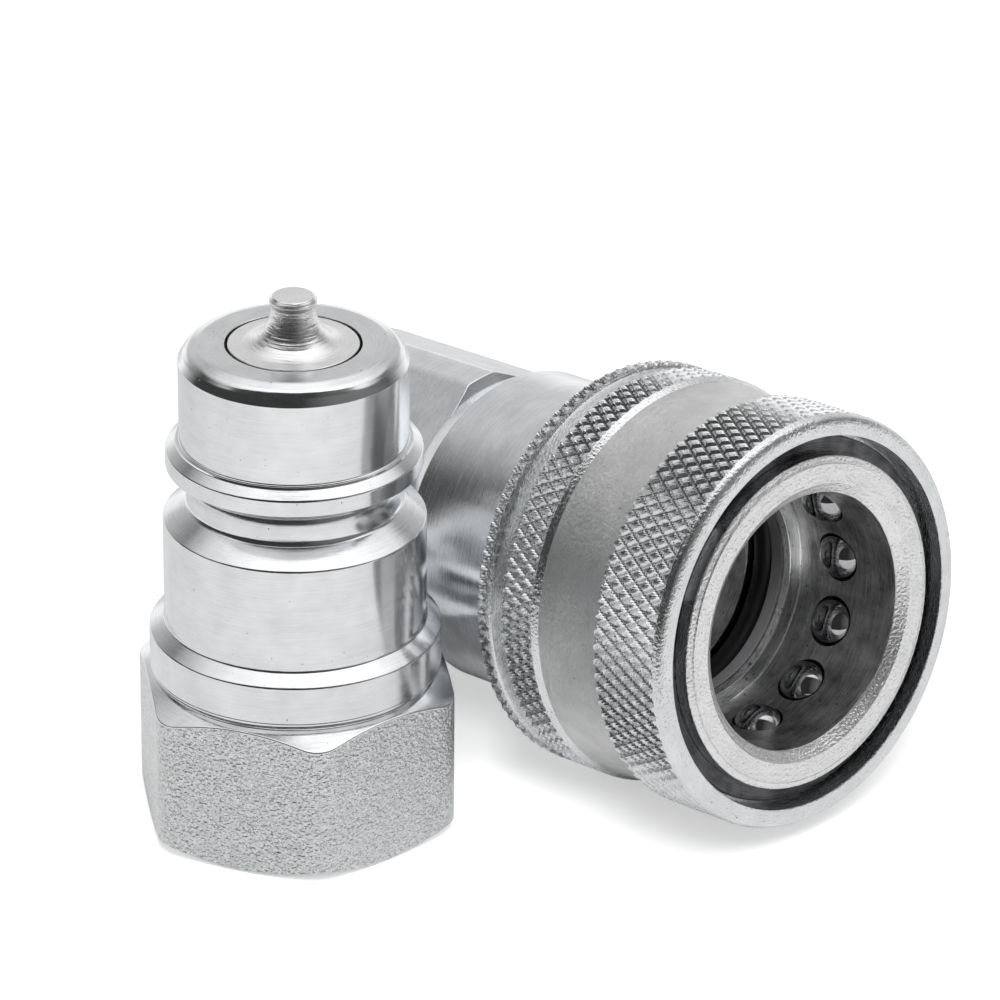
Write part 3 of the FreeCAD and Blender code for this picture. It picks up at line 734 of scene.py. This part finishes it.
adapterShell = adapterPiece()
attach(adapterShell, "frame")
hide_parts("socket_adapter")
socketNib = poppetPiece("socketNib", onSocket, -body["poppetFace"], poppetSteelSocket)
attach(socketNib, "socket_valve")
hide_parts("socket_poppet")
print("socket half made")


# Balls and rings

ball = {"radius": 2.38, "columns": 48, "rows": 25}
noseSeal = {"centre": 11.47, "wire": 1.3, "depth": 16.45}
backup = {"inner": 10.37, "outer": 12.77, "front": 13.61, "thickness": 1.35}
stopRing = {
    "inner": 14.79, "outer": 16.9, "front": 1.65, "thickness": 1.2, "split": 30.0, "turn": 141.0,
    "columns": 160,
}


def lockBall(number):
    # sphere about the centre of the ball's own node
    name = "lock_ball_%02d" % number
    low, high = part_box(name)
    centre = (np.array(low) + np.array(high)) / 2
    rise = np.linspace(-np.pi / 2, np.pi / 2, ball["rows"])[:, None]
    turn = 2 * np.pi * np.arange(ball["columns"])[None, :] / ball["columns"]
    grid = np.stack([np.cos(rise) * np.cos(turn), np.cos(rise) * np.sin(turn),
                     np.broadcast_to(np.sin(rise), (ball["rows"], ball["columns"]))], -1)
    faces = gridFaces(ball["rows"], ball["columns"], closed=False).reshape(-1, 4).tolist()
    piece = makePiece("ball%02d" % number, centre + grid * ball["radius"] * mm, faces, [ballSteel])
    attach(piece, "ball_%02d" % number)
    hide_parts(name)


def roundRing(name, node, centre, wire, depth, place, bodyName, material):
    # torus: r = centre + wire cos(t), z = wire sin(t)
    t = 2 * np.pi * np.arange(24) / 24
    outline = [(centre + wire * math.cos(a), wire * math.sin(a), 0.0) for a in t]
    piece = turnedPiece(name, outline, 144, place, [material], None, -depth)
    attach(piece, bodyName)
    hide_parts(node)


def flatRing():
    # rectangle with soft corners turned about the axis
    s = backup
    low = -s["front"] - s["thickness"]
    outline = [(s["inner"], low, 0.1), (s["outer"], low, 0.1), (s["outer"], -s["front"], 0.1),
               (s["inner"], -s["front"], 0.15)]
    piece = turnedPiece("backupRing", outline, 144, onSocket, [backupPlastic])
    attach(piece, "frame")
    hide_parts("backup_ring")


def splitRing():
    # rectangle with soft corners carried round all but the split, with a cap at each end
    s = stopRing
    low = -s["front"] - s["thickness"]
    outline = [(s["inner"], low, 0.1), (s["outer"], low, 0.15), (s["outer"], -s["front"], 0.15),
               (s["inner"], -s["front"], 0.1)]
    columns = s["columns"]
    points, edges = spread(outline, columns)
    rows = softened(points, edges, 3)[0]
    start = math.radians(s["turn"] + s["split"] / 2)
    angle = start + math.radians(360 - s["split"]) * np.linspace(0, 1, columns)
    r, z = rows[..., 0], rows[..., 1]
    shape = onSocket(np.stack([r * np.cos(angle), r * np.sin(angle), z], -1))
    quads = gridFaces(len(rows), columns)[:, :-1].reshape(-1, 4).tolist()
    ends = [[row * columns + end for row in range(len(rows))] for end in (0, columns - 1)]
    piece = makePiece("stopRing", shape, quads + ends, [ringSteel])
    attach(piece, "frame")
    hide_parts("sleeve_stop_ring")


valveSpring = {"radius": 5.6, "wire": 0.5, "rear": 20.5, "front": 4.55, "turns": 7}
sleeveSpring = {"radius": 16.325, "wire": 0.65, "rear": 22.15, "front": 10.15, "turns": 4}
spring = {"seat": 0.02, "travel": 5.0, "perTurn": 48, "round": 12}


def springPiece(name, node, coil, place, lift):
    # tube round a helix: centre line (R cos t, R sin t, z rising evenly with t), wire circle spanned by
    # the outward direction and its cross product with the tangent
    low, high, radius = lift - coil["rear"], lift - coil["front"], coil["radius"]
    rise = high - low - 2 * coil["wire"] - 2 * spring["seat"]
    t = np.linspace(0, 2 * np.pi * coil["turns"], coil["turns"] * spring["perTurn"] + 1)[:, None]
    outward = np.stack([np.cos(t), np.sin(t), np.zeros_like(t)], -1)
    slope = rise / (2 * np.pi * coil["turns"])
    tangent = np.stack([-radius * np.sin(t), radius * np.cos(t), np.full_like(t, slope)], -1)
    across = np.cross(outward, tangent / np.linalg.norm(tangent, axis=-1, keepdims=True))
    turn = 2 * np.pi * np.arange(spring["round"])[None, :, None] / spring["round"]
    height = low + coil["wire"] + spring["seat"] + slope * t
    centre = np.stack([radius * np.cos(t), radius * np.sin(t), height], -1)
    tube = centre + coil["wire"] * (np.cos(turn) * outward + np.sin(turn) * across)
    faces = gridFaces(len(t), spring["round"], closed=False).reshape(-1, 4).tolist()
    last = (len(t) - 1) * spring["round"]
    ends = [list(range(spring["round"])), list(range(last, last + spring["round"]))]
    piece = makePiece(name, place(tube), faces + ends, [springSteel])
    axis = place(np.array([0.0, 0.0, 1.0])) - place(np.zeros(3))
    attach(piece, "frame")
    tuple(place(np.array([0.0, 0.0, low])))
    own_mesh(piece)
    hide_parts(node)


springPiece("plugValveSpring", "plug_valve_spring", valveSpring, onPlug, plug["height"])
springPiece("socketValveSpring", "socket_valve_spring", valveSpring, onSocket, -body["poppetFace"])
springPiece("sleeveSpring", "sleeve_spring", sleeveSpring, onSocket, 0.0)
for number in range(1, body["balls"] + 1):
    lockBall(number)
roundRing("noseSeal", "nose_seal", noseSeal["centre"], noseSeal["wire"], noseSeal["depth"], onSocket, "frame",
          sealRubber)
flatRing()
splitRing()

hidden = {
    "plug_valve_guide": poppetSteelPlug, "socket_valve_guide": poppetSteelSocket,
    "plug_guide_ring": ringSteel, "plug_poppet_seal": sealRubber, "socket_poppet_seal": sealRubber,
    "adapter_seal": sealRubber,
}
for name, material in hidden.items():
    nodes[name].data.materials.clear()
    nodes[name].data.materials.append(material)
print("balls and rings made")


# Studio

studio = {
    "eye": (-318.4, -359.2, 268.1), "forward": (0.6199, 0.6478, -0.4428), "right": (0.7225, -0.6914, 0.0),
    "roll": 0.51, "lens": 216.0, "sensor": 36.0, "cameraSide": (-0.691, -0.7225, 0.0),
    # the floor's glow in reflections is painted, low near the object as painted shade and full further away
    "floor": 3.0, "floorFront": 0.15, "floorWhite": 0.92, "floorShown": 0.5, "floorFar": 0.5,
    "floorNear": 0.12, "floorPaintedGlow": 0.75, "room": 0.045, "wall": 0.6, "wallFrom": -0.3, "wallTo": -0.85,
    "horizon": 1.7, "horizonRise": (0.08, 0.25), "skyShare": 0.4,
    "boxWay": (0.0484, -0.1658, 0.985), "boxLight": 1.45, "boxTilt": (0.94, 0.34), "boxFrom": -0.115,
    "boxTo": -0.07,
    "boxLevels": ((0.3, 0.14), (0.42, 0.2), (0.5, 0.31), (0.63, 0.52), (0.75, 0.64), (0.85, 0.76),
                  (0.93, 0.9), (0.975, 1.0)),
    "boxRise": (0.45, 0.62),
    "sideWay": (0.3566, -0.9106, 0.208), "sideFrom": 0.6, "sideTo": 0.95, "sideLight": 0.2,
    "lampPlace": (-0.28, -0.38, 0.62), "lampPower": 5.0, "lampSize": 0.35,
}


def makeCamera():
    s = studio
    data = bpy.data.cameras.new("camera")
    data.lens, data.sensor_width = s["lens"], s["sensor"]
    data.clip_start, data.clip_end = 0.01, 50
    forward = np.array(s["forward"]) / np.linalg.norm(s["forward"])
    right = np.array(s["right"]) / np.linalg.norm(s["right"])
    down = np.cross(forward, right)
    cosRoll, sinRoll = math.cos(math.radians(s["roll"])), math.sin(math.radians(s["roll"]))
    turnedRight = cosRoll * right - sinRoll * down
    turnedDown = sinRoll * right + cosRoll * down
    place = Matrix.Identity(4)
    for row in range(3):
        place[row][0], place[row][1], place[row][2] = turnedRight[row], -turnedDown[row], -forward[row]
        place[row][3] = s["eye"][row] * mm
    camera = bpy.data.objects.new("camera", data)
    camera.matrix_world = place
    bpy.context.scene.collection.objects.link(camera)
    bpy.context.scene.camera = camera


def makeWorld():
    # dark room with a grey wall behind the object, a faint panel at the right and a soft box overhead:
    # each fades in over the cosine to its own direction, the wall is brighter at the horizon, and the box
    # is cut off low down and where boxTilt's first * towards the camera - its second * up > a limit;
    # diffuse rays get only skyShare of it, and the camera sees plain white
    s = studio
    world = bpy.data.worlds.new("room")
    bpy.context.scene.world = world
    world.use_nodes = True
    add = nodeTool(world)
    way = add("ShaderNodeTexCoord").outputs["Generated"]

    def along(axis):
        return add("ShaderNodeVectorMath", {0: way, 1: tuple(axis)}, operation="DOT_PRODUCT").outputs["Value"]
    up = along((0.0, 0.0, 1.0))
    wall = ranged(add, along(s["cameraSide"]), s["wallTo"], s["wallFrom"], s["wall"], 0.0)
    wall = times(add, wall, ranged(add, up, s["horizonRise"][0], s["horizonRise"][1], s["horizon"], 1.0))
    ramp = add("ShaderNodeValToRGB", {0: along(s["boxWay"])})
    stops = ramp.color_ramp.elements
    stops[0].color = (0, 0, 0, 1)
    for place, level in s["boxLevels"]:
        stops.new(place).color = (level, level, level, 1)
    forward, rise = s["boxTilt"]
    edge = along(forward * np.array(s["cameraSide"]) - rise * np.array([0.0, 0.0, 1.0]))
    box = times(add, times(add, ramp.outputs[0], s["boxLight"]),
                ranged(add, edge, s["boxFrom"], s["boxTo"], 1.0, 0.0))
    box = times(add, box, ranged(add, up, s["boxRise"][0], s["boxRise"][1], 0.0, 1.0))
    both = add("ShaderNodeMath", {0: wall, 1: box}, operation="MAXIMUM").outputs[0]
    side = ranged(add, along(s["sideWay"]), s["sideFrom"], s["sideTo"], s["room"], s["sideLight"])
    path = add("ShaderNodeLightPath")
    level = plus(add, both, side)
    level = times(add, level, ranged(add, path.outputs["Is Diffuse Ray"], 0.0, 1.0, 1.0, s["skyShare"]))
    shown = add("ShaderNodeMix", {0: path.outputs["Is Camera Ray"], 2: level, 3: 1.0},
                data_type="FLOAT").outputs[0]
    back = add("ShaderNodeBackground", {"Color": (1, 1, 1, 1), "Strength": shown})
    add("ShaderNodeOutputWorld", {"Surface": back.outputs[0]})


def makeFloor():
    # white sheet that ends in front of the object, where the metal sees the dark room instead; it glows
    # evenly for the camera, and for reflections it has a painted glow that grows away from the object, so it
    # reflects as painted shade near the object
    s = studio
    front = np.array(s["cameraSide"])
    side = np.array([front[1], -front[0], 0.0])
    corners = [front * along + side * across for along, across in
               ((s["floorFront"], -s["floor"]), (s["floorFront"], s["floor"]), (-s["floor"], s["floor"]),
                (-s["floor"], -s["floor"]))]
    mesh = bpy.data.meshes.new("floor")
    mesh.from_pydata([tuple(corner) for corner in corners], [], [(0, 1, 2, 3)])
    floor = bpy.data.objects.new("floor", mesh)
    bpy.context.scene.collection.objects.link(floor)
    material = bpy.data.materials.new("paleFloor")
    material.use_nodes = True
    add = nodeTool(material)
    path = add("ShaderNodeLightPath")
    where = add("ShaderNodeTexCoord").outputs["Object"]
    away = add("ShaderNodeVectorMath", {0: where}, operation="LENGTH").outputs["Value"]
    # painted glow for reflections, none close to the object and full further off: painted shade round the
    # object
    paintedGlow = ranged(add, away, s["floorNear"], s["floorFar"], 0.0, s["floorPaintedGlow"])
    seen = plus(add, times(add, path.outputs["Is Camera Ray"], s["floorShown"]),
                times(add, path.outputs["Is Glossy Ray"], paintedGlow))
    diffuse = add("ShaderNodeBsdfDiffuse", {"Color": (s["floorWhite"],) * 3 + (1,)})
    glow = add("ShaderNodeEmission", {"Color": (1, 1, 1, 1), "Strength": seen})
    both = add("ShaderNodeAddShader", {0: diffuse.outputs[0], 1: glow.outputs[0]})
    add("ShaderNodeOutputMaterial", {"Surface": both.outputs[0]})
    mesh.materials.append(material)


def makeLight(name, where, size, power, aim=(0.02, -0.015, 0.02)):
    data = bpy.data.lights.new(name, "AREA")
    data.shape, data.size, data.energy = "SQUARE", size, power
    light = bpy.data.objects.new(name, data)
    place = np.array(where, float)
    way = np.array(aim) - place
    way = way / np.linalg.norm(way)
    side = np.cross(way, [0.0, 0.0, 1.0])
    side = side / np.linalg.norm(side)
    up = np.cross(side, way)
    matrix = Matrix.Identity(4)
    for row in range(3):
        matrix[row][0], matrix[row][1], matrix[row][2] = side[row], up[row], -way[row]
        matrix[row][3] = place[row]
    light.matrix_world = matrix
    light.visible_glossy = False  # the metal mirrors only the room and the floor
    bpy.context.scene.collection.objects.link(light)


makeCamera()
makeWorld()
makeFloor()
makeLight("lamp", studio["lampPlace"], studio["lampSize"], studio["lampPower"])
bpy.context.scene.view_settings.view_transform = "Standard"
print("studio made")
